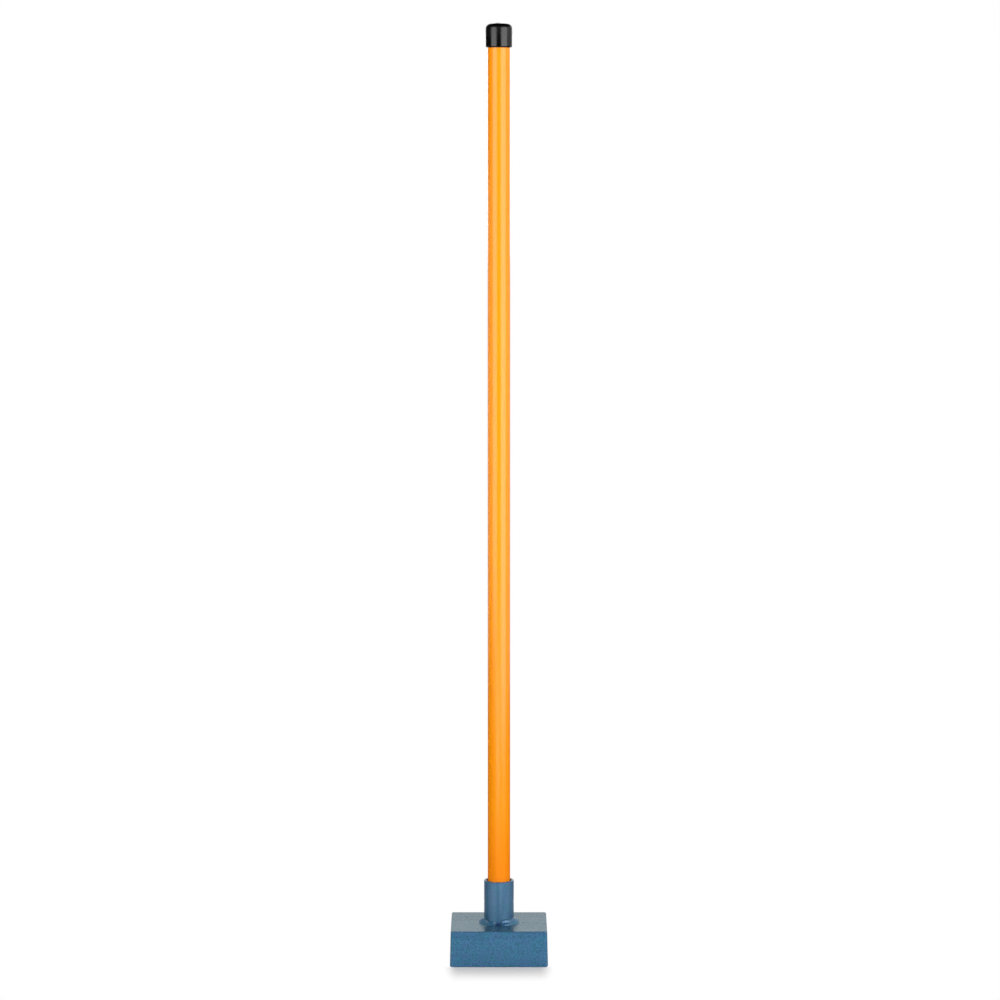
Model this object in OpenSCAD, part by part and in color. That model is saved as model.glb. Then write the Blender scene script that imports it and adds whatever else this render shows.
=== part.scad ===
// Insulated hand tamper: a drafted steel block with a welded socket, and a round handle bonded into it.
// Millimetres. The origin is the middle of the block's flat underside, and +Z runs up the handle.

/* [Head] */
// Width of the block at its underside
head_w = 139; // [110:1:180]
// Depth of the block at its underside
head_d = 139; // [110:1:180]
// Height of the block
head_h = 51; // [35:1:75]
// How far each side leans in between the underside and the top
head_draft = 1.2; // [0.4:0.1:4]
// Radius of the upright corners at the top
head_corner_r = 2.8; // [2.4:0.1:9]
// Radius along the top and bottom edges
head_edge_r = 1.8; // [0.6:0.1:2.2]

/* [Handle] */
// Outside diameter of the handle
handle_od = 32; // [28:0.5:38]
// Length of the handle between the flanges of its two plugs
handle_len = 1265; // [900:1:1600]
// Wall of the coloured sheath
sheath_wall = 2.5; // [1.5:0.1:3.5]
// Wall of the glass-fibre core tube
core_wall = 3; // [2:0.1:4]

/* [Socket] */
// Height of the socket above the block
socket_h = 61; // [48:1:90]
// Wall of the socket tube
socket_wall = 3.2; // [2.4:0.1:5]
// Width of the ring between the handle and the socket bore
socket_gap = 2; // [1:0.1:3]
// Bevel on both edges of the socket's rim
rim_bevel = 0.5; // [0.3:0.1:1]
// Depth of the resin's surface below the rim
resin_drop = 8; // [4:0.5:14]

/* [Weld] */
// Reach of the weld along the block
weld_leg_out = 7.8; // [5:0.2:9]
// Reach of the weld up the socket
weld_leg_up = 7; // [4:0.2:8]
// Gap between the two runs, at the front and at the back
weld_gap = 4; // [1:0.5:6]
// Length over which a run swells from its start, and fades at its end
weld_end_len = 5; // [3:0.5:8]
// Length of one ripple along the bead
ripple_len = 3; // [2.4:0.1:5]
// Depth of the valley between two ripples
ripple_depth = 0.55; // [0.2:0.05:0.9]
// Length from the front over which the right run's two passes merge into one
groove_len = 18; // [10:1:40]
// Length from the front over which the left run climbs to its full height
sag_len = 24; // [10:1:40]

/* [Pin] */
// Diameter of the cross pin
pin_d = 6; // [4:0.5:8]
// Height of the cross pin above the block
pin_up = 30; // [20:1:36]
// Depth of the pin's ends below the socket's surface
pin_sink = 0.5; // [0.3:0.1:2]
// Bevel on the pin's ends
pin_bevel = 0.5; // [0.2:0.1:1]

/* [Plugs] */
// Thickness of the foot plug's flange
foot_flange_t = 4; // [2:0.5:8]
// Length of the foot plug's spigot above the pin
foot_past_pin = 18; // [6:1:40]
// Thickness of the top plug's flange
top_flange_t = 3; // [1.5:0.5:6]
// Length of the top plug's spigot
top_spigot_len = 20; // [10:1:40]
// Bevel on the leading edge of both spigots
spigot_bevel = 1; // [0.5:0.1:2]

/* [Cap] */
// Height of the cap
cap_h = 34; // [26:1:60]
// Side wall of the cap
cap_wall = 3; // [2.6:0.1:4.5]
// Thickness of the cap's top at its middle
cap_top_t = 5; // [4:0.1:7]
// Radius of the cap's shoulder
cap_shoulder_r = 7; // [4:0.1:7.5]
// Rise of the cap's domed top, from its edge to its middle
cap_dome = 1; // [0.4:0.1:2]
// Radius of the cap's lower edge
cap_lip_r = 2.4; // [0.6:0.1:2.6]

/* [Hidden] */

$fn = 96;

// Room between two round pieces that are fitted into one another
fit_clear = 0.1;
// Length by which a cut runs past what it cuts
overrun = 1;
// How far a straight side ends inside the arcs that it runs into, so that they meet in one clean line
tangent_tuck = 0.0005;

// Stations along one ripple, with the depth of the valley at each
valley_shares = [1, 0.3, 0, 0.3];
// Steps across the face of the bead
face_steps = 10;
// Size of a run at its two ends
end_share = 0.22;
// How full the face of the bead is: 1 is flat and 2 is a quarter of an ellipse
bead_fullness = 1.5;
// How far a ripple bows forward in the middle of the face
bow_share = 0.6;
// Valley between two passes at the front of a run: the left run is a single pass
right_groove_share = 0.3;
left_groove_share = 0;
// How much lower a run lies on the socket at its front end
right_sag_share = 0;
left_sag_share = 0.5;
// Slow unevenness along the bead, and how many waves of it there are in a run
wander_share = 0.07;
wander_waves = 3.3;

sheath_r = handle_od / 2;
sheath_bore_r = sheath_r - sheath_wall;
core_r = sheath_bore_r - fit_clear;
core_bore_r = core_r - core_wall;
spigot_r = core_bore_r - fit_clear;

socket_bore_r = sheath_r + socket_gap;
socket_r = socket_bore_r + socket_wall;

handle_z = head_h + foot_flange_t;
handle_top = handle_z + handle_len;
pin_z = head_h + pin_up;
foot_spigot_len = pin_up + pin_d / 2 + foot_past_pin - foot_flange_t;

cap_bore_r = sheath_r + fit_clear;
cap_r = cap_bore_r + cap_wall;
cap_top = handle_top + top_flange_t + cap_top_t;
cap_z = cap_top - cap_h;

// Block: one rounded, leaning edge section, turned round the four corners and run along the four sides
lean_deg = atan(head_draft / head_h);
foot_corner_r = head_corner_r + head_draft;
corner_x = head_w / 2 - foot_corner_r;
corner_y = head_d / 2 - foot_corner_r;

// Section from a corner's upright axis out to the side of the block
module edge_section() {
    low_x = foot_corner_r - head_edge_r * (1 + sin(lean_deg)) / cos(lean_deg);
    high_z = head_h - head_edge_r;
    high_x = foot_corner_r - (head_edge_r + high_z * sin(lean_deg)) / cos(lean_deg);
    out_r = head_edge_r - tangent_tuck;
    out_x = out_r * cos(lean_deg);
    out_z = out_r * sin(lean_deg);
    intersection() {
        union() {
            polygon([
                [0, 0],
                [low_x, 0],
                [low_x + out_x, head_edge_r + out_z],
                [high_x + out_x, high_z + out_z],
                [high_x, head_h],
                [0, head_h]
            ]);
            translate([low_x, head_edge_r])
                circle(r = head_edge_r);
            translate([high_x, high_z])
                circle(r = head_edge_r);
        }
        square([foot_corner_r, head_h]);
    }
}

// Straight stretch with the edge section on both of its sides
module straight_slab(half_w, half_len) {
    rotate([90, 0, 0])
        linear_extrude(2 * half_len, center = true) {
            for (side = [0, 1])
                mirror([side, 0])
                    translate([half_w, 0])
                        edge_section();
            translate([-half_w, 0])
                square([2 * half_w, head_h]);
        }
}

module head_block() {
    color("#44708f") {
        straight_slab(corner_x, corner_y);
        rotate(90)
            straight_slab(corner_y, corner_x);
        for (sx = [-1, 1], sy = [-1, 1])
            translate([sx * corner_x, sy * corner_y, 0])
                rotate_extrude()
                    edge_section();
    }
}

// Cross hole for the pin, through whatever it is cut from
module pin_hole() {
    length = 2 * (socket_r + overrun);
    translate([0, 0, pin_z])
        rotate([0, 90, 0])
            cylinder(d = pin_d + 2 * fit_clear, h = length, center = true);
}

// Round tube standing on a height
module tube(z, length, outer_r, bore_r) {
    translate([0, 0, z])
        difference() {
            cylinder(r = outer_r, h = length);
            translate([0, 0, -overrun])
                cylinder(r = bore_r, h = length + 2 * overrun);
        }
}

module socket_tube() {
    color("#44708f")
        difference() {
            translate([0, 0, head_h])
                rotate_extrude()
                    polygon([
                        [socket_bore_r, 0],
                        [socket_r, 0],
                        [socket_r, socket_h - rim_bevel],
                        [socket_r - rim_bevel, socket_h],
                        [socket_bore_r + rim_bevel, socket_h],
                        [socket_bore_r, socket_h - rim_bevel]
                    ]);
            pin_hole();
        }
}

// Weld: one run goes round half of the socket's foot, from the front to the back
weld_r = socket_r + fit_clear;
weld_mid_r = weld_r + weld_leg_out / 2;
weld_gap_deg = weld_gap / weld_mid_r * 180 / PI;
run_deg = 180 - weld_gap_deg;
run_start_deg = -90 + weld_gap_deg / 2;
run_len = run_deg * PI / 180 * weld_mid_r;
ripples = max(4, round(run_len / ripple_len));
stations = ripples * len(valley_shares);
ring = face_steps + 2;

// Size of the bead at a share of the run: full in the middle, and round at both ends
function swell(along_share) =
    let(from_end = min(along_share, 1 - along_share) * run_len)
    let(rest_share = max(0, 1 - from_end / weld_end_len))
    (end_share + (1 - end_share) * sqrt(1 - rest_share * rest_share))
    * (1 + wander_share * sin(360 * wander_waves * along_share));

// One at the front of a run, falling to nothing over a length
function front_share(along_share, length) = max(0, 1 - pow(along_share * run_len / length, 2));

// Distance from the root of the weld to its face, at an angle up from the block
function bead_reach(turn, leg_up) =
    pow(
        pow(cos(turn) / weld_leg_out, bead_fullness) + pow(sin(turn) / leg_up, bead_fullness),
        -1 / bead_fullness
    );

function bead_point(station, face, groove_share, sag_share) =
    let(along_share = station / stations)
    let(across_share = face / face_steps)
    let(turn = 90 * across_share)
    let(leg_up = weld_leg_up * (1 - sag_share * front_share(along_share, sag_len)))
    let(groove = 1 - groove_share * front_share(along_share, groove_len) * pow(sin(2 * turn), 4))
    let(valley = ripple_depth * valley_shares[station % len(valley_shares)])
    let(reach = (bead_reach(turn, leg_up) * groove - valley) * swell(along_share))
    let(bow_deg = bow_share * sin(2 * turn) * run_deg / ripples)
    let(deg = run_start_deg + along_share * run_deg + bow_deg)
    let(r = weld_r + reach * cos(turn))
    [r * cos(deg), r * sin(deg), reach * sin(turn)];

function root_point(station) =
    let(deg = run_start_deg + station / stations * run_deg)
    [weld_r * cos(deg), weld_r * sin(deg), 0];

module weld_run(groove_share, sag_share) {
    points = [
        for (station = [0 : stations])
            for (spot = [0 : ring - 1])
                spot == 0 ? root_point(station) : bead_point(station, spot - 1, groove_share, sag_share)
    ];
    sides = [
        for (station = [0 : stations - 1])
            for (spot = [0 : ring - 1])
                let(next_spot = (spot + 1) % ring)
                let(a = station * ring + spot)
                let(b = station * ring + next_spot)
                each [[a, a + ring, b], [b, a + ring, b + ring]]
    ];
    last = stations * ring;
    ends = [
        for (spot = [1 : ring - 2])
            each [[0, spot, spot + 1], [last, last + spot + 1, last + spot]]
    ];
    translate([0, 0, head_h])
        polyhedron(points, concat(sides, ends), convexity = 6);
}

module weld_run_left() {
    color("#4a7390")
        mirror([1, 0, 0])
            weld_run(left_groove_share, left_sag_share);
}

module weld_run_right() {
    color("#4a7390")
        weld_run(right_groove_share, right_sag_share);
}

module socket_resin() {
    color("#3a3428")
        difference() {
            tube(head_h, socket_h - resin_drop, socket_bore_r - fit_clear, sheath_r + fit_clear);
            pin_hole();
        }
}

module cross_pin() {
    r = pin_d / 2;
    length = 2 * (socket_r - pin_sink);
    color("#8a8d90")
        translate([-length / 2, 0, pin_z])
            rotate([0, 90, 0])
                rotate_extrude()
                    polygon([
                        [0, 0],
                        [r - pin_bevel, 0],
                        [r, pin_bevel],
                        [r, length - pin_bevel],
                        [r - pin_bevel, length],
                        [0, length]
                    ]);
}

module handle_sheath() {
    color("#f6961a")
        difference() {
            tube(handle_z, handle_len, sheath_r, sheath_bore_r);
            pin_hole();
        }
}

module handle_core() {
    color("#d8d2b4")
        difference() {
            tube(handle_z, handle_len, core_r, core_bore_r);
            pin_hole();
        }
}

// The fill runs between the ends of the two spigots
module foam_core() {
    bottom = handle_z + foot_spigot_len + fit_clear;
    top = handle_top - top_spigot_len - fit_clear;
    color("#efe6c0")
        translate([0, 0, bottom])
            cylinder(r = spigot_r, h = top - bottom);
}

// Flange on the plane, with a spigot above it that has a bevelled leading edge
module plug(flange_t, spigot_len) {
    rotate_extrude()
        polygon([
            [0, -flange_t],
            [sheath_r, -flange_t],
            [sheath_r, 0],
            [spigot_r, 0],
            [spigot_r, spigot_len - spigot_bevel],
            [spigot_r - spigot_bevel, spigot_len],
            [0, spigot_len]
        ]);
}

module foot_plug() {
    color("#2e3033")
        difference() {
            translate([0, 0, handle_z])
                plug(foot_flange_t, foot_spigot_len);
            pin_hole();
        }
}

module top_plug() {
    color("#2e3033")
        translate([0, 0, handle_top])
            mirror([0, 0, 1])
                plug(top_flange_t, top_spigot_len);
}

// Half section of the cap's outside: a domed top, a round shoulder that meets it smoothly, and a round lip
module cap_section() {
    shoulder_x = cap_r - cap_shoulder_r;
    dome_r = (pow(cap_r, 2) + pow(cap_dome, 2)) / (2 * cap_dome);
    dome_z = cap_h - dome_r;
    shoulder_z = dome_z + sqrt(pow(dome_r - cap_shoulder_r, 2) - pow(shoulder_x, 2));
    meet_x = shoulder_x * dome_r / (dome_r - cap_shoulder_r);
    intersection() {
        translate([0, dome_z])
            circle(r = dome_r, $fn = 4 * $fn);
        square([meet_x, cap_h]);
    }
    translate([shoulder_x, shoulder_z])
        circle(r = cap_shoulder_r);
    translate([0, cap_lip_r])
        square([cap_r, shoulder_z - cap_lip_r]);
    translate([cap_r - cap_lip_r, cap_lip_r])
        circle(r = cap_lip_r);
    square([cap_r - cap_lip_r, cap_h / 2]);
}

module end_cap() {
    bore_h = cap_h - cap_top_t;
    color("#15161a")
        translate([0, 0, cap_z])
            difference() {
                rotate_extrude()
                    cap_section();
                translate([0, 0, -overrun])
                    cylinder(r = cap_bore_r, h = bore_h + overrun);
            }
}

head_block();
socket_tube();
weld_run_left();
weld_run_right();
socket_resin();
cross_pin();
handle_sheath();
handle_core();
foam_core();
foot_plug();
top_plug();
end_cap();
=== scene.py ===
"""Looks of the hand tamper: finishes, a finer weld, small marks, the studio and the camera.

Metres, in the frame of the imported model: the origin is the middle of the block's underside,
+Z runs up the handle and the front faces -Y.
"""

import math
import random

import bmesh
import bpy
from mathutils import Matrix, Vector, noise


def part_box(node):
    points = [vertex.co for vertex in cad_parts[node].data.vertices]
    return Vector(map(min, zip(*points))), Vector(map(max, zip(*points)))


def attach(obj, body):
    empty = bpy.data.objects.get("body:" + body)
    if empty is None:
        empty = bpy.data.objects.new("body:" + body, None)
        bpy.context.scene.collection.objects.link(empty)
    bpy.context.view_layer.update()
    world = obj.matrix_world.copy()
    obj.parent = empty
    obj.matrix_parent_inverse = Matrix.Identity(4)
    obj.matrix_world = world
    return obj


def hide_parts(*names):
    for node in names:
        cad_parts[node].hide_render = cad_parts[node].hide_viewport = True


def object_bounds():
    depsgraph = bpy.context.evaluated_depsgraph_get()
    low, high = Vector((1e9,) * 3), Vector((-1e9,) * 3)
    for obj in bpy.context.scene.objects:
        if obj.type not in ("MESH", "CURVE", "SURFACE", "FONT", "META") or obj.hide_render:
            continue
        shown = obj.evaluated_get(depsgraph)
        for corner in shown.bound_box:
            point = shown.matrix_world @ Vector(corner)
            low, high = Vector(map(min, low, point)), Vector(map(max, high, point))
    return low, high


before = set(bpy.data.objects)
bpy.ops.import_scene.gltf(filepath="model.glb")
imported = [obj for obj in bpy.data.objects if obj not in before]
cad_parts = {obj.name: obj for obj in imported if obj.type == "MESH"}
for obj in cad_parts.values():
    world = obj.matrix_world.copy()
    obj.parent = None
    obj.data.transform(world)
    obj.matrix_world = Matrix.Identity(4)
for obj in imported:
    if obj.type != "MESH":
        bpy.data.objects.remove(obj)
cad_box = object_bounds()

# Sizes taken from the frame
deck_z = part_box("head_block")[1].z
socket_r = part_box("socket_tube")[1].x
socket_top_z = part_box("socket_tube")[1].z
bore_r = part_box("socket_resin")[1].x
cap_top_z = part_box("end_cap")[1].z

# Room between two round pieces that are fitted into one another
fit_clear = 0.0001
# Segments round a small moulded or spattered dot
dot_steps = 32
# Edges sharper than this aren't shaded smooth: on a dot, and on the weld
dot_sharp_deg = 40
weld_sharp_deg = 75

# Weld bead: the legs and ripple spacing of the solids, with more stations, shallower ripples,
# small lumps, less sag and wider gaps at the front
weld_leg_out = 0.0078
weld_leg_up = 0.007
back_gap = 0.002
weld_end_len = 0.004
ripple_len = 0.003
ripple_depth = 0.00024
ripple_steps = 12
face_steps = 22
end_share = 0.32
bead_fullness = 1.25
bow_share = 0.6
wander_share = 0.07
wander_waves = 3.3
groove_len = 0.018
groove_sharpness = 4
sag_len = 0.024
ripple_spread_share = 0.45
lump_len = 0.004
lump_share = 0.03
# What differs between the runs: side of the axis, gap and shape at the front, and seed of the ripples
left_run = {"side": -1, "front_gap": 0.0055, "groove_share": 0, "sag_share": 0.35, "seed": 3}
right_run = {"side": 1, "front_gap": 0.0032, "groove_share": 0.3, "sag_share": 0, "seed": 8}

# Mark left by the moulding gate beside the middle of the cap
gate_x = -0.0018
gate_r = 0.0048
gate_rise = 0.0009
gate_sink = 0.0006

# Weld spatter on the block: place from the axis, and diameter
spatter_spots = [
    (0.0350, -0.0080, 0.0016),
    (0.0392, -0.0030, 0.0012),
    (-0.0303, -0.0450, 0.0014),
    (0.0580, -0.0560, 0.0013),
    (-0.0460, 0.0310, 0.0015),
    (0.0215, 0.0430, 0.0012),
]
spatter_height_share = 0.42
spatter_sink = 0.0002

# Shares of a noise between which most of its values lie, nearly all of them, and only its peaks
most_shares = (0.3, 0.7)
wide_shares = (0.2, 0.8)
peak_shares = (0.5, 0.75)
# Upward parts of a normal from which a face starts to count as level, and counts as level
level_shares = (0.5, 0.95)

# Stretches of a pattern along the handle and along the pin
drawn_shares = (1, 1, 0.01)
mottle_shares = (1, 1, 0.2)
scuff_shares = (1, 1, 0.05)
pin_shares = (0.04, 1, 1)

# Streaks in the enamel: width, stretch and choice of pattern
deck_streak = {"size": 0.008, "stretch": (0.04, 1, 1), "pattern": 0}
socket_streak = {"size": 0.011, "stretch": (1, 1, 0.06), "pattern": 5}

# Enamel on the three painted pieces: size of the hammer cells, depth of the relief, tone of the colour,
# clear film on top, and the streaks with their part in the tone; the higher tone of the socket and the weld
# makes lighter copies of one enamel, as painted light
block_paint = {
    "cell": 0.0022,
    "depth": 0.00004,
    "tone_share": 0.6,
    "coat_shares": (0.2, 0.3),
    "coat_roughness": 0.2,
    "coat_ior": 1.5,
    "streak": deck_streak,
    "streak_share": 0.05,
}
socket_paint = {
    "cell": 0.0015,
    "depth": 0.00002,
    # Lighter than the block: painted light
    "tone_share": 0.73,
    "coat_shares": (0.4, 1),
    "coat_roughness": 0.42,
    "coat_ior": 1.8,
    "streak": socket_streak,
    "streak_share": 0.12,
}
weld_paint = {
    "cell": 0.0018,
    "depth": 0.00002,
    # Lighter still: painted light
    "tone_share": 1,
    "coat_shares": (0.6, 0.75),
    "coat_roughness": 0.3,
    "coat_ior": 1.75,
    "streak": deck_streak,
    "streak_share": 0.1,
}
# Sizes of the colour patches, the grain and the pits in hammer cells
patch_cells = 5
grain_cells = 0.7
pit_cells = 1.8
# Lowest level of the grain
grain_low_share = 0.45
# Shares of the noise between which the enamel goes from its greener to its bluer hue
hue_shares = (0.35, 0.65)
# Roughness of the enamel from patch to patch
enamel_roughness = (0.55, 0.45)
# Shares of a cell from a pit's floor to its edge
pit_edge_shares = (0.08, 0.45)
# Share of the cells with pits less than full depth, and depth of the faintest
shallow_cells_share = 0.6
faint_pit_share = 0.3
# Share of the relief that the pits take, and the level about which the relief swings
pit_share = 0.35
relief_middle = 0.63
# Shares of the relief and the roughness that are left where paint has levelled, and the tone taken off faces
# that look up, as painted shade
level_relief_share = 0.04
top_shade_loss = 0.3
level_gloss_share = 0.55
# Distance from the bore at which its near-black painted shade has given way to the paint on the socket's rim
paint_edge = 0.0007
# Width of the painted shade in the corner between the weld and the socket
corner_w = 0.002
# Heights above the block between which the painted shade at the socket's foot fades out
foot_shade_low = 0.001
foot_shade_high = 0.0055
# Depth below the deck at which the painted shade on the block has ended
ring_shade_depth = 0.001
# Dark blue of the painted shade at the socket's foot and on the block under the weld
painted_shade_blue = "#0b426e"

# Sheath: draw lines with their part in the tint, mottling, scuffs and roughness
draw_line_w = 0.0012
draw_line_depth = 0.00001
draw_line_share = 0.4
mottle_size = 0.02
scuff_size = 0.006
scuff_dullness = 0.03
sheath_roughness = (0.18, 0.22)
# Length above the socket over which the handle is painted a deeper orange, as painted shade toward the floor
foot_shade_len = 0.12

# Cap: grain, rubbed patches, and roughness at the lip and at the top
vinyl_grain = 0.0006
vinyl_grain_depth = 0.00003
rub_size = 0.007
rub_dullness = 0.04
vinyl_roughness = (0.17, 0.28)
# Depths below the cap's top between which its gloss goes from full to dull
dull_len = 0.03
dull_end = 0.008

# Resin: bubbles at the surface, with the shares of a bubble from its floor to its edge, swirls and roughness
bubble_size = 1 / 450
bubble_edge_shares = (0.12, 0.3)
bubble_depth = 0.0002
swirl_size = 0.008
resin_roughness = (0.3, 0.45)

# Pin: draw lines, brown bloom and roughness
pin_line_w = 0.0004
pin_line_depth = 0.00002
bloom_size = 0.003
bloom_shares = (0.55, 0.75)
pin_roughness = (0.28, 0.5)

# Core: glass rovings and roughness
roving_w = 0.001
roving_depth = 0.00004
core_roughness = (0.4, 0.6)

# Foam: pores, with the shares of a pore from its floor to its edge, and roughness
pore_size = 1 / 1400
pore_edge_shares = (0.1, 0.6)
pore_depth = 0.0001
foam_roughness = (0.75, 0.95)

# Plugs: grain and roughness
plug_grain = 0.0007
plug_grain_depth = 0.00003
plug_roughness = (0.45, 0.6)


def colour(hex_text):
    """Linear RGBA of a colour written as it shows on a screen."""
    channels = [int(hex_text[i : i + 2], 16) / 255 for i in (1, 3, 5)]
    linear = [c / 12.92 if c <= 0.04045 else ((c + 0.055) / 1.055) ** 2.4 for c in channels]
    return (*linear, 1)


def add_node(tree, kind, inputs=None, **settings):
    """Adds a node with its settings, and puts a value or a link on each named input."""
    node = tree.nodes.new("ShaderNode" + kind)
    for key, value in settings.items():
        setattr(node, key, value)
    for key, value in (inputs or {}).items():
        if isinstance(value, bpy.types.NodeSocket):
            tree.links.new(value, node.inputs[key])
        else:
            node.inputs[key].default_value = value
    return node


def calc(tree, operation, a, b):
    """Result of a Math node on two values or links."""
    return add_node(tree, "Math", {0: a, 1: b}, operation=operation).outputs[0]


def spread(tree, value, low, high, to_low=0, to_high=1):
    """Smooth step of a link from low..high to to_low..to_high."""
    inputs = {"Value": value, "From Min": low, "From Max": high, "To Min": to_low, "To Max": to_high}
    return add_node(tree, "MapRange", inputs, interpolation_type="SMOOTHSTEP").outputs[0]


def blend_colours(tree, share, first, second):
    """Colour between two colours."""
    node = add_node(tree, "Mix", data_type="RGBA")
    for socket, value in zip((node.inputs[0], node.inputs[6], node.inputs[7]), (share, first, second)):
        if isinstance(value, bpy.types.NodeSocket):
            tree.links.new(value, socket)
        else:
            socket.default_value = value
    return node.outputs[2]


def place_of(tree, stretch=(1, 1, 1)):
    """Place on the object, in metres, stretched along the three directions."""
    spot = add_node(tree, "TexCoord").outputs["Object"]
    if stretch == (1, 1, 1):
        return spot
    return add_node(tree, "Mapping", {"Vector": spot, "Scale": stretch}).outputs[0]


def height_of(tree):
    """Height above the ground."""
    return add_node(tree, "SeparateXYZ", {0: place_of(tree)}).outputs[2]


def axis_distance(tree):
    """Distance from the handle's axis."""
    flat = add_node(tree, "VectorMath", {0: place_of(tree), 1: (1, 1, 0)}, operation="MULTIPLY").outputs[0]
    return add_node(tree, "VectorMath", {0: flat}, operation="LENGTH").outputs["Value"]


def clouds(tree, size, stretch=(1, 1, 1), detail=3):
    """Noise with patches of a given size."""
    inputs = {"Vector": place_of(tree, stretch), "Scale": 1 / size, "Detail": detail}
    return add_node(tree, "TexNoise", inputs).outputs[0]


def cells(tree, size):
    """Net of uneven cells of a given size."""
    return add_node(tree, "TexVoronoi", {"Vector": place_of(tree), "Scale": 1 / size}).outputs


def relief(tree, shader, height, depth):
    """Fine shape of a surface, as a bump of a given depth."""
    bump = add_node(tree, "Bump", {"Height": height, "Distance": depth})
    tree.links.new(bump.outputs[0], shader.inputs["Normal"])


def paint_base(tree, shader, share, first, second):
    """Colours the surface between two colours."""
    tree.links.new(blend_colours(tree, share, colour(first), colour(second)), shader.inputs["Base Color"])


def new_material(name, constants):
    """A material with the values that are the same all over it set on its shader."""
    material = bpy.data.materials.new(name)
    material.use_nodes = True
    tree = material.node_tree
    shader = tree.nodes["Principled BSDF"]
    for socket, value in constants.items():
        shader.inputs[socket].default_value = value
    return material, tree, shader


def hammer_pits(tree, size):
    """Small pits in an uneven net of cells, deep in some and faint in others."""
    net = cells(tree, size)
    luck = add_node(tree, "SeparateXYZ", {0: net["Color"]}).outputs[0]
    hollow = spread(tree, net["Distance"], *pit_edge_shares, 1, 0)
    deep = spread(tree, luck, 0, shallow_cells_share, faint_pit_share, 1)
    return calc(tree, "MULTIPLY", hollow, deep)


def paint_streaks(tree, size, stretch, pattern):
    """Streaks in the paint, in one of many patterns."""
    inputs = {"Vector": place_of(tree, stretch), "Scale": 1 / size, "Detail": 2, "W": pattern}
    return add_node(tree, "TexNoise", inputs, noise_dimensions="4D").outputs[0]


def shaded_bore(tree, paint):
    """Paint that stops at the socket's mouth: the bore is coloured near black, as painted shade in the narrow
    gap.
    """
    outside = spread(tree, axis_distance(tree), bore_r + fit_clear, bore_r + paint_edge)
    # Near black in the bore: painted shade
    return blend_colours(tree, outside, colour("#0d0e0f"), paint)


def shaded_foot(tree, paint):
    """Paint that is darker at the socket's foot, as painted shade, which shows in the gaps between the two
    runs.
    """
    unshaded = spread(tree, height_of(tree), deck_z + foot_shade_low, deck_z + foot_shade_high)
    # Darker foot: painted shade
    return blend_colours(tree, unshaded, colour(painted_shade_blue), paint)


def socket_edges(tree, paint):
    """The socket's bore and foot, both darkened as painted shade."""
    return shaded_foot(tree, shaded_bore(tree, paint))


def shaded_weld_ring(tree, paint):
    """Paint that is darker on the block under the weld, as painted shade, which shows in the gaps between the
    two runs.
    """
    weld_r = socket_r + weld_leg_out
    outside = spread(tree, axis_distance(tree), weld_r - corner_w, weld_r)
    below = spread(tree, height_of(tree), deck_z - ring_shade_depth, deck_z - fit_clear, 1, 0)
    # Darker under the weld: painted shade
    return blend_colours(tree, calc(tree, "MAXIMUM", outside, below), colour(painted_shade_blue), paint)


def shaded_corner(tree, paint):
    """Paint that is darker in the corner between the weld and the socket, as painted shade."""
    outside = spread(tree, axis_distance(tree), socket_r, socket_r + corner_w)
    # Darker corner: painted shade
    return blend_colours(tree, outside, colour("#1d3347"), paint)


def hammer_relief(tree, cell, upright):
    """Fine grain with small pits, which paint that faces up has mostly levelled out."""
    grain = spread(tree, clouds(tree, grain_cells * cell, detail=2), *most_shares, grain_low_share, 1)
    # The pits also lower the enamel's tone: painted shade in the pits
    pits = calc(tree, "MULTIPLY", hammer_pits(tree, pit_cells * cell), pit_share)
    swing = calc(tree, "SUBTRACT", calc(tree, "SUBTRACT", grain, pits), relief_middle)
    return calc(tree, "MULTIPLY", swing, spread(tree, upright, *level_shares, 1, level_relief_share))


def hammer_enamel(name, edge, paint):
    """Hammer-finish enamel: fine grain with small pits darkened as painted shade, levelled and darker as
    painted shade where it faces up, and streaks.
    """
    constants = {
        "Metallic": 0.45,
        "Specular IOR Level": 0.5,
        "Specular Tint": colour("#a9c4bd"),
        "Coat Roughness": paint["coat_roughness"],
        "Coat IOR": paint["coat_ior"],
    }
    material, tree, shader = new_material(name, constants)
    upright = add_node(tree, "SeparateXYZ", {0: add_node(tree, "NewGeometry").outputs["Normal"]}).outputs[2]
    rough = hammer_relief(tree, paint["cell"], upright)
    streaks = paint_streaks(tree, **paint["streak"])
    tree.links.new(spread(tree, streaks, *most_shares, *paint["coat_shares"]), shader.inputs["Coat Weight"])
    runs = spread(tree, streaks, *most_shares, -paint["streak_share"], paint["streak_share"])
    level_tone = paint["tone_share"] - top_shade_loss
    # Faces that look up are darker: painted shade
    top_shade = spread(tree, upright, *level_shares, paint["tone_share"], level_tone)
    tone = calc(tree, "ADD", calc(tree, "ADD", rough, runs), top_shade)
    patches = clouds(tree, patch_cells * paint["cell"])
    bluer = spread(tree, patches, *hue_shares)
    hue = blend_colours(tree, bluer, colour("#3a799a"), colour("#4474a0"))
    film_colour = blend_colours(tree, tone, colour("#1d3c53"), hue)
    tree.links.new(edge(tree, film_colour), shader.inputs["Base Color"])
    uneven = spread(tree, patches, *wide_shares, *enamel_roughness)
    gloss = calc(tree, "MULTIPLY", uneven, spread(tree, upright, *level_shares, 1, level_gloss_share))
    tree.links.new(gloss, shader.inputs["Roughness"])
    relief(tree, shader, rough, paint["depth"])
    return material


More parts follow.
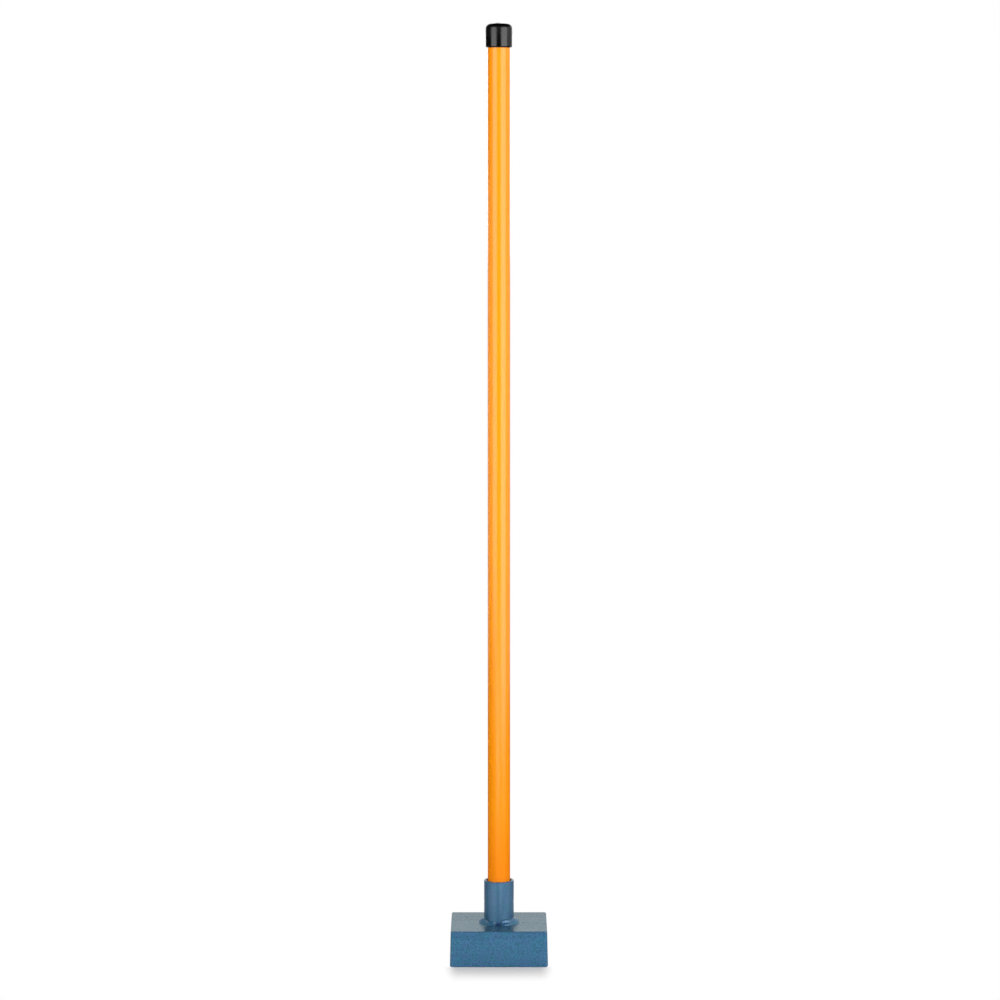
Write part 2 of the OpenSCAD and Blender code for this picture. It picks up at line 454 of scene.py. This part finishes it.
def orange_skin():
    """Gloss plastic sheath: faint lengthwise draw lines, slight mottling, dull scuffs and a foot painted a
    deeper orange as painted shade.
    """
    material, tree, shader = new_material("orange_skin", {"Specular IOR Level": 0.55})
    lines = clouds(tree, draw_line_w, drawn_shares, detail=2)
    mottle = clouds(tree, mottle_size, mottle_shares, detail=2)
    line_part = calc(tree, "MULTIPLY", lines, draw_line_share)
    mottle_part = calc(tree, "MULTIPLY", mottle, 1 - draw_line_share)
    mixed = calc(tree, "ADD", line_part, mottle_part)
    tint = blend_colours(tree, mixed, colour("#fc9206"), colour("#fe9709"))
    # Deeper orange toward the socket: painted shade
    unshaded = spread(tree, height_of(tree), socket_top_z, socket_top_z + foot_shade_len)
    tree.links.new(blend_colours(tree, unshaded, colour("#f68808"), tint), shader.inputs["Base Color"])
    scuffs = spread(tree, clouds(tree, scuff_size, scuff_shares, detail=2), *peak_shares)
    dull = calc(tree, "MULTIPLY", scuffs, scuff_dullness)
    gloss = calc(tree, "ADD", dull, spread(tree, mottle, *most_shares, *sheath_roughness))
    tree.links.new(gloss, shader.inputs["Roughness"])
    relief(tree, shader, lines, draw_line_depth)
    return material


def black_vinyl():
    """Moulded black cap: near black and glossy at the lip, with a fine grain and a top rubbed dull."""
    material, tree, shader = new_material("black_vinyl", {"Specular IOR Level": 0.62})
    rubbed = spread(tree, clouds(tree, rub_size, detail=5), *peak_shares)
    paint_base(tree, shader, rubbed, "#010101", "#040404")
    dull = spread(tree, height_of(tree), cap_top_z - dull_len, cap_top_z - dull_end, *vinyl_roughness)
    gloss = calc(tree, "ADD", dull, calc(tree, "MULTIPLY", rubbed, rub_dullness))
    tree.links.new(gloss, shader.inputs["Roughness"])
    relief(tree, shader, clouds(tree, vinyl_grain, detail=2), vinyl_grain_depth)
    return material


def dark_resin():
    """Poured bonding resin: dark amber, glossy, with small bubbles at its surface."""
    material, tree, shader = new_material("dark_resin", {"Coat Weight": 0.6, "Coat Roughness": 0.08})
    pits = spread(tree, cells(tree, bubble_size)["Distance"], *bubble_edge_shares)
    swirl = clouds(tree, swirl_size)
    paint_base(tree, shader, swirl, "#17110a", "#33261a")
    tree.links.new(spread(tree, swirl, *most_shares, *resin_roughness), shader.inputs["Roughness"])
    relief(tree, shader, pits, bubble_depth)
    return material


def drawn_steel():
    """Plain drawn pin: grey steel with lines along its length and a faint brown bloom."""
    material, tree, shader = new_material("drawn_steel", {"Metallic": 1})
    lines = clouds(tree, pin_line_w, pin_shares, detail=2)
    bloom = spread(tree, clouds(tree, bloom_size, detail=5), *bloom_shares)
    paint_base(tree, shader, bloom, "#8f9295", "#7a6a5c")
    tree.links.new(spread(tree, lines, *wide_shares, *pin_roughness), shader.inputs["Roughness"])
    relief(tree, shader, lines, pin_line_depth)
    return material


def glass_fibre():
    """Pultruded core: pale resin with long glass rovings showing through."""
    material, tree, shader = new_material("glass_fibre", {"Coat Weight": 0.3, "Coat Roughness": 0.2})
    rovings = clouds(tree, roving_w, drawn_shares, detail=4)
    paint_base(tree, shader, rovings, "#c3bb98", "#e6e0c6")
    tree.links.new(spread(tree, rovings, *most_shares, *core_roughness), shader.inputs["Roughness"])
    relief(tree, shader, rovings, roving_depth)
    return material


def rigid_foam():
    """Closed-cell fill: pale cream with fine pores."""
    material, tree, shader = new_material("rigid_foam", {"Specular IOR Level": 0.15})
    walls = spread(tree, cells(tree, pore_size)["Distance"], *pore_edge_shares)
    paint_base(tree, shader, walls, "#d9cc9c", "#f1e9c8")
    tree.links.new(spread(tree, walls, 0, 1, *foam_roughness), shader.inputs["Roughness"])
    relief(tree, shader, walls, pore_depth)
    return material


def hard_plug():
    """Moulded plug: dark grey nylon with a fine spark-eroded grain."""
    material, tree, shader = new_material("hard_plug", {"Specular IOR Level": 0.4})
    grain = clouds(tree, plug_grain, detail=4)
    paint_base(tree, shader, grain, "#25272a", "#36393c")
    tree.links.new(spread(tree, grain, *most_shares, *plug_roughness), shader.inputs["Roughness"])
    relief(tree, shader, grain, plug_grain_depth)
    return material


def shade(mesh, sharp_deg):
    """Turns the faces outward and shades them smooth, apart from edges sharper than an angle."""
    work = bmesh.new()
    work.from_mesh(mesh)
    bmesh.ops.recalc_face_normals(work, faces=work.faces)
    limit = math.radians(sharp_deg)
    for face in work.faces:
        face.smooth = True
    for edge in work.edges:
        edge.smooth = edge.calc_face_angle(0) < limit
    work.to_mesh(mesh)
    work.free()


def make_piece(name, points, faces, material, sharp_deg=dot_sharp_deg):
    """A closed mesh piece that rides on the object's one body."""
    mesh = bpy.data.meshes.new(name)
    mesh.from_pydata(points, [], faces)
    mesh.materials.append(material)
    shade(mesh, sharp_deg)
    piece = bpy.data.objects.new(name, mesh)
    bpy.context.scene.collection.objects.link(piece)
    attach(piece, "root")
    return piece


def dome(middle, radius, top, sink, steps):
    """Points and faces of a low round dot that stands on a level and reaches a little below it."""
    x, y, z = middle
    rings = steps // 4
    turns = [2 * math.pi * i / steps for i in range(steps)]
    points = [(x, y, z - sink)]
    for ring in range(rings):
        rise = math.pi / 2 * ring / rings
        r = radius * math.cos(rise)
        height = z + top * math.sin(rise) if ring else z - sink
        points += [(x + r * math.cos(t), y + r * math.sin(t), height) for t in turns]
    points.append((x, y, z + top))
    faces = []
    last = len(points) - 1
    for i in range(steps):
        k = (i + 1) % steps
        faces.append((0, 1 + k, 1 + i))
        for ring in range(rings - 1):
            low = 1 + ring * steps
            high = low + steps
            faces.append((low + i, low + k, high + k, high + i))
        faces.append((last - steps + i, last - steps + k, last))
    return points, faces


def weld_swell(along_share, run_len):
    """Size of the bead at a share of the run: full in the middle, and round at both ends."""
    from_end = min(along_share, 1 - along_share) * run_len
    rest_share = max(0, 1 - from_end / weld_end_len)
    full_share = end_share + (1 - end_share) * math.sqrt(1 - rest_share * rest_share)
    return full_share * (1 + wander_share * math.sin(2 * math.pi * wander_waves * along_share))


def front_share(along, length):
    """One at the front of a run, falling to nothing over a length."""
    return max(0, 1 - (along / length) ** 2)


def weld_reach(turn, leg_up):
    """Distance from the root of the weld to its face, at an angle up from the block."""
    out_part = (max(0, math.cos(turn)) / weld_leg_out) ** bead_fullness
    up_part = (math.sin(turn) / leg_up) ** bead_fullness
    return (out_part + up_part) ** (-1 / bead_fullness)


def sweep_faces(stations, ring):
    """Faces of a closed sweep that has a ring of points at each station."""
    faces = []
    for station in range(stations):
        for spot in range(ring):
            a = station * ring + spot
            b = station * ring + (spot + 1) % ring
            faces.append((a, a + ring, b + ring, b))
    faces.append(tuple(range(ring)))
    faces.append(tuple(stations * ring + spot for spot in range(ring)))
    return faces


def weld_bead(name, material, node, side, front_gap, groove_share, sag_share, seed):
    """One run of the fillet weld, from the front of the socket to its back."""
    rng = random.Random(seed)
    root_r = socket_r + fit_clear
    mid_r = root_r + weld_leg_out / 2
    front_turn = front_gap / mid_r
    run_turn = math.pi - front_turn - back_gap / mid_r
    run_len = run_turn * mid_r
    ripples = round(run_len / ripple_len)
    stations = ripples * ripple_steps
    depths = [ripple_depth * (1 + rng.uniform(-1, 1) * ripple_spread_share) for _ in range(ripples + 1)]
    points = []
    for station in range(stations + 1):
        along_share = station / stations
        start = -math.pi / 2 + front_turn + along_share * run_turn
        points.append((side * root_r * math.cos(start), root_r * math.sin(start), deck_z))
        phase = station / ripple_steps
        valley = depths[round(phase)] * (1 - abs(math.sin(math.pi * phase)))
        groove_here = groove_share * front_share(along_share * run_len, groove_len)
        leg_up = weld_leg_up * (1 - sag_share * front_share(along_share * run_len, sag_len))
        for face in range(face_steps + 1):
            turn = math.pi / 2 * face / face_steps
            middle_share = math.sin(2 * turn)
            groove = 1 - groove_here * middle_share**groove_sharpness
            reach = (weld_reach(turn, leg_up) * groove - valley) * weld_swell(along_share, run_len)
            where = start + bow_share * middle_share * run_turn / ripples
            r = root_r + reach * math.cos(turn)
            spot = Vector((side * r * math.cos(where), r * math.sin(where), deck_z + reach * math.sin(turn)))
            lump = lump_share * reach * middle_share * noise.noise(spot / lump_len)
            points.append((spot.x * (1 + lump / r), spot.y * (1 + lump / r), spot.z + lump))
    faces = sweep_faces(stations, face_steps + 2)
    piece = make_piece(name, points, faces, material, weld_sharp_deg)
    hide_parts(node)


def joined(parts):
    """Points and faces of several closed parts as one list each."""
    points = []
    faces = []
    for part_points, part_faces in parts:
        first = len(points)
        points += part_points
        faces += [tuple(first + i for i in face) for face in part_faces]
    return points, faces


def weld_spatter(material):
    """Beads of spatter that stuck to the block beside the weld and were painted over."""
    parts = []
    for x, y, size in spatter_spots:
        parts.append(dome((x, y, deck_z), size / 2, size * spatter_height_share, spatter_sink, dot_steps))
    points, faces = joined(parts)
    make_piece("weld_spatter", points, faces, material)


def gate_mark(material):
    """Low dot beside the middle of the cap, where the moulding gate was cut off."""
    middle = (gate_x, 0, cap_top_z)
    points, faces = dome(middle, gate_r, gate_rise, gate_sink, dot_steps)
    make_piece("gate_mark", points, faces, material)


def dress(finishes):
    """Gives each CAD node that stays its finish."""
    for node, material in finishes.items():
        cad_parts[node].material_slots[0].material = material


# Studio: an upright softbox on either side in front of the object, a dim board on either side of it,
# a dim box on either side behind it, a low lamp in front and a softbox behind
box_distance = 2
box_high_z = 2.3
softboxes = {
    "left_box": {"turn_deg": -44, "width": 1.67, "low_z": 0.2, "high_z": box_high_z, "light": 2.55},
    "right_box": {"turn_deg": 46, "width": 2, "low_z": 0, "high_z": box_high_z, "light": 2.9},
    "side_board": {"turn_deg": 92, "width": 1.25, "low_z": 0.06, "high_z": box_high_z, "light": 0.6},
    "left_board": {"turn_deg": -92, "width": 1.25, "low_z": 0.3, "high_z": 1.15, "light": 0.45},
    "right_rim": {"turn_deg": 132, "width": 1, "low_z": 0.1, "high_z": box_high_z, "light": 0.85},
    "left_rim": {"turn_deg": -132, "width": 1, "low_z": 0.1, "high_z": 1.1, "light": 0.85},
    "front_lamp": {"turn_deg": -10, "width": 1.6, "low_z": -0.12, "high_z": 0.16, "light": 2},
    "back_box": {"turn_deg": 180, "width": 2.6, "low_z": 0.95, "high_z": box_high_z, "light": 2.2},
}
# Lamps for the upper handle, for its middle, with a grid, and for its back, all kept out of mirrors
handle_lamps = {
    "top_lamp": {
        "place": (0, -1, 1.65),
        "aim": (0, 0, 0.6),
        "width": 1.6,
        "height": 0.3,
        "light": 4.4,
    },
    "grid_lamp": {
        "place": (0, -1.4, 1.65),
        "aim": (0, 0, 0.62),
        "width": 1,
        "height": 0.3,
        "light": 0.55,
        "spread_deg": 32,
    },
    "back_lamp": {
        "place": (0, 2, 0.45),
        "aim": (0, 0, 0.6),
        "width": 0.8,
        "height": 0.8,
        "light": 7,
    },
}
# Light of the room on the object, and what mirrors show of its dark side
fill_light = 0.12
dark_side_light = 0.02
# Backward part of a direction from which mirrors start to show the white wall, and show it whole
wall_shares = (0.88, 0.985)

floor_r = 0.35
floor_steps = 96
floor_white = 0.72
# Share of the floor's white in red, green and blue, which evens out the block's blue on it
floor_tint_shares = (1, 0.985, 0.975)
# How far the block's shadow in front of it reaches sideways and forward, before the floor is plain white;
# the floor is flat, so the third value has no effect
shadow_reach = (0.022, 0.1, 1)
# How far inside the block's sides that shadow starts to fade
shadow_inset = 0.012
# Distance from the block's front edge over which the shadow sets in
contact_w = 0.004
white = (1, 1, 1, 1)


def area_lamp(name, place, aim, width, height, light, spread_deg=180):
    """A flat soft lamp that faces a point, of a given brightness as seen from there."""
    lamp = bpy.data.lights.new(name, "AREA")
    lamp.shape = "RECTANGLE"
    lamp.size = width
    lamp.size_y = height
    lamp.energy = light * math.pi * width * height
    lamp.spread = math.radians(spread_deg)
    holder = bpy.data.objects.new(name, lamp)
    holder.location = place
    holder.rotation_euler = (Vector(aim) - Vector(place)).to_track_quat("-Z", "Y").to_euler()
    holder.visible_camera = False
    bpy.context.scene.collection.objects.link(holder)
    return holder


def softbox(name, turn_deg, width, low_z, high_z, light):
    """An upright lamp at an angle from the camera's side of the handle."""
    turn = math.radians(turn_deg)
    middle_z = (low_z + high_z) / 2
    place = (box_distance * math.sin(turn), -box_distance * math.cos(turn), middle_z)
    area_lamp(name, place, (0, 0, middle_z), width, high_z - low_z, light)


def backdrop_rays(tree):
    """One for a ray that is seen, straight or through glass, and one for a ray that is mirrored."""
    path = add_node(tree, "LightPath").outputs
    seen = calc(tree, "MAXIMUM", path["Is Camera Ray"], path["Is Transmission Ray"])
    return seen, path["Is Glossy Ray"]


def studio_world():
    """White all round for the camera; a white wall behind and a dim room in front for mirrors."""
    world = bpy.data.worlds.new("studio")
    bpy.context.scene.world = world
    world.use_nodes = True
    tree = world.node_tree
    tree.nodes.clear()
    seen, mirrored = backdrop_rays(tree)
    toward = add_node(tree, "SeparateXYZ", {0: add_node(tree, "TexCoord").outputs["Generated"]}).outputs[1]
    wall = spread(tree, toward, *wall_shares, dark_side_light, 1)
    fill = add_node(tree, "Background", {"Color": white, "Strength": fill_light}).outputs[0]
    plain = add_node(tree, "Background", {"Color": white, "Strength": 1}).outputs[0]
    mirror = add_node(tree, "Background", {"Color": white, "Strength": wall}).outputs[0]
    lit = add_node(tree, "MixShader", {0: mirrored, 1: fill, 2: mirror}).outputs[0]
    shown = add_node(tree, "MixShader", {0: seen, 1: lit, 2: plain}).outputs[0]
    add_node(tree, "OutputWorld", {"Surface": shown})


def away_from_shadow(tree):
    """Nothing in the block's shadow in front of it, and one where the floor is plain white."""
    half = (cad_box[1].x - shadow_inset, cad_box[1].y, shadow_reach[2])
    side = add_node(tree, "VectorMath", {0: place_of(tree)}, operation="ABSOLUTE").outputs[0]
    past = add_node(tree, "VectorMath", {0: side, 1: half}, operation="SUBTRACT").outputs[0]
    outside = add_node(tree, "VectorMath", {0: past, 1: (0, 0, 0)}, operation="MAXIMUM").outputs[0]
    reached = add_node(tree, "VectorMath", {0: outside, 1: shadow_reach}, operation="DIVIDE").outputs[0]
    away = spread(tree, add_node(tree, "VectorMath", {0: reached}, operation="LENGTH").outputs["Value"], 0, 1)
    depth = add_node(tree, "SeparateXYZ", {0: place_of(tree)}).outputs[1]
    return calc(tree, "MAXIMUM", away, spread(tree, depth, -half[1], contact_w - half[1]))


def floor_finish():
    """Pale matt floor that is plain white, for the camera and mirrors, away from the block's shadow."""
    material = bpy.data.materials.new("floor")
    material.use_nodes = True
    tree = material.node_tree
    tree.nodes.clear()
    seen, mirrored = backdrop_rays(tree)
    share = calc(tree, "MULTIPLY", away_from_shadow(tree), calc(tree, "MAXIMUM", seen, mirrored))
    pale = (*(floor_white * tint for tint in floor_tint_shares), 1)
    matt = add_node(tree, "BsdfDiffuse", {"Color": pale}).outputs[0]
    plain = add_node(tree, "Emission", {"Color": white, "Strength": 1}).outputs[0]
    surface = add_node(tree, "MixShader", {0: share, 1: matt, 2: plain}).outputs[0]
    add_node(tree, "OutputMaterial", {"Surface": surface})
    return material


def studio_floor():
    """Round floor that takes the object's shadow."""
    turns = [2 * math.pi * i / floor_steps for i in range(floor_steps)]
    rim = [(floor_r * math.cos(t), floor_r * math.sin(t), 0) for t in turns]
    mesh = bpy.data.meshes.new("floor")
    mesh.from_pydata(rim, [], [tuple(range(floor_steps))])
    mesh.materials.append(floor_finish())
    floor = bpy.data.objects.new("floor", mesh)
    bpy.context.scene.collection.objects.link(floor)


# Camera, set from the photograph: level with the upper handle, a little right of the axis
camera_place = (0.0015, -5.15, 1.1325)
camera_down_deg = 5.268
camera_lens = 131.38
camera_sensor = 36


def studio_camera():
    """Camera that looks along +Y and a little down."""
    data = bpy.data.cameras.new("camera")
    data.lens = camera_lens
    data.sensor_width = camera_sensor
    camera = bpy.data.objects.new("camera", data)
    camera.location = camera_place
    camera.rotation_euler = (math.radians(90 - camera_down_deg), 0, 0)
    bpy.context.scene.collection.objects.link(camera)
    bpy.context.scene.camera = camera


bpy.context.scene.view_settings.view_transform = "Standard"

weld_enamel = hammer_enamel("weld_enamel", shaded_corner, weld_paint)
vinyl = black_vinyl()
plug = hard_plug()

dress(
    {
        "head_block": hammer_enamel("block_enamel", shaded_weld_ring, block_paint),
        "socket_tube": hammer_enamel("socket_enamel", socket_edges, socket_paint),
        "socket_resin": dark_resin(),
        "cross_pin": drawn_steel(),
        "handle_sheath": orange_skin(),
        "handle_core": glass_fibre(),
        "foam_core": rigid_foam(),
        "foot_plug": plug,
        "top_plug": plug,
        "end_cap": vinyl,
    }
)

weld_bead("weld_bead_left", weld_enamel, "weld_run_left", **left_run)
weld_bead("weld_bead_right", weld_enamel, "weld_run_right", **right_run)
weld_spatter(weld_enamel)
gate_mark(vinyl)

studio_world()
studio_floor()
for box_name, box in softboxes.items():
    softbox(box_name, **box)
for lamp_name, handle_lamp in handle_lamps.items():
    area_lamp(lamp_name, **handle_lamp).visible_glossy = False
studio_camera()
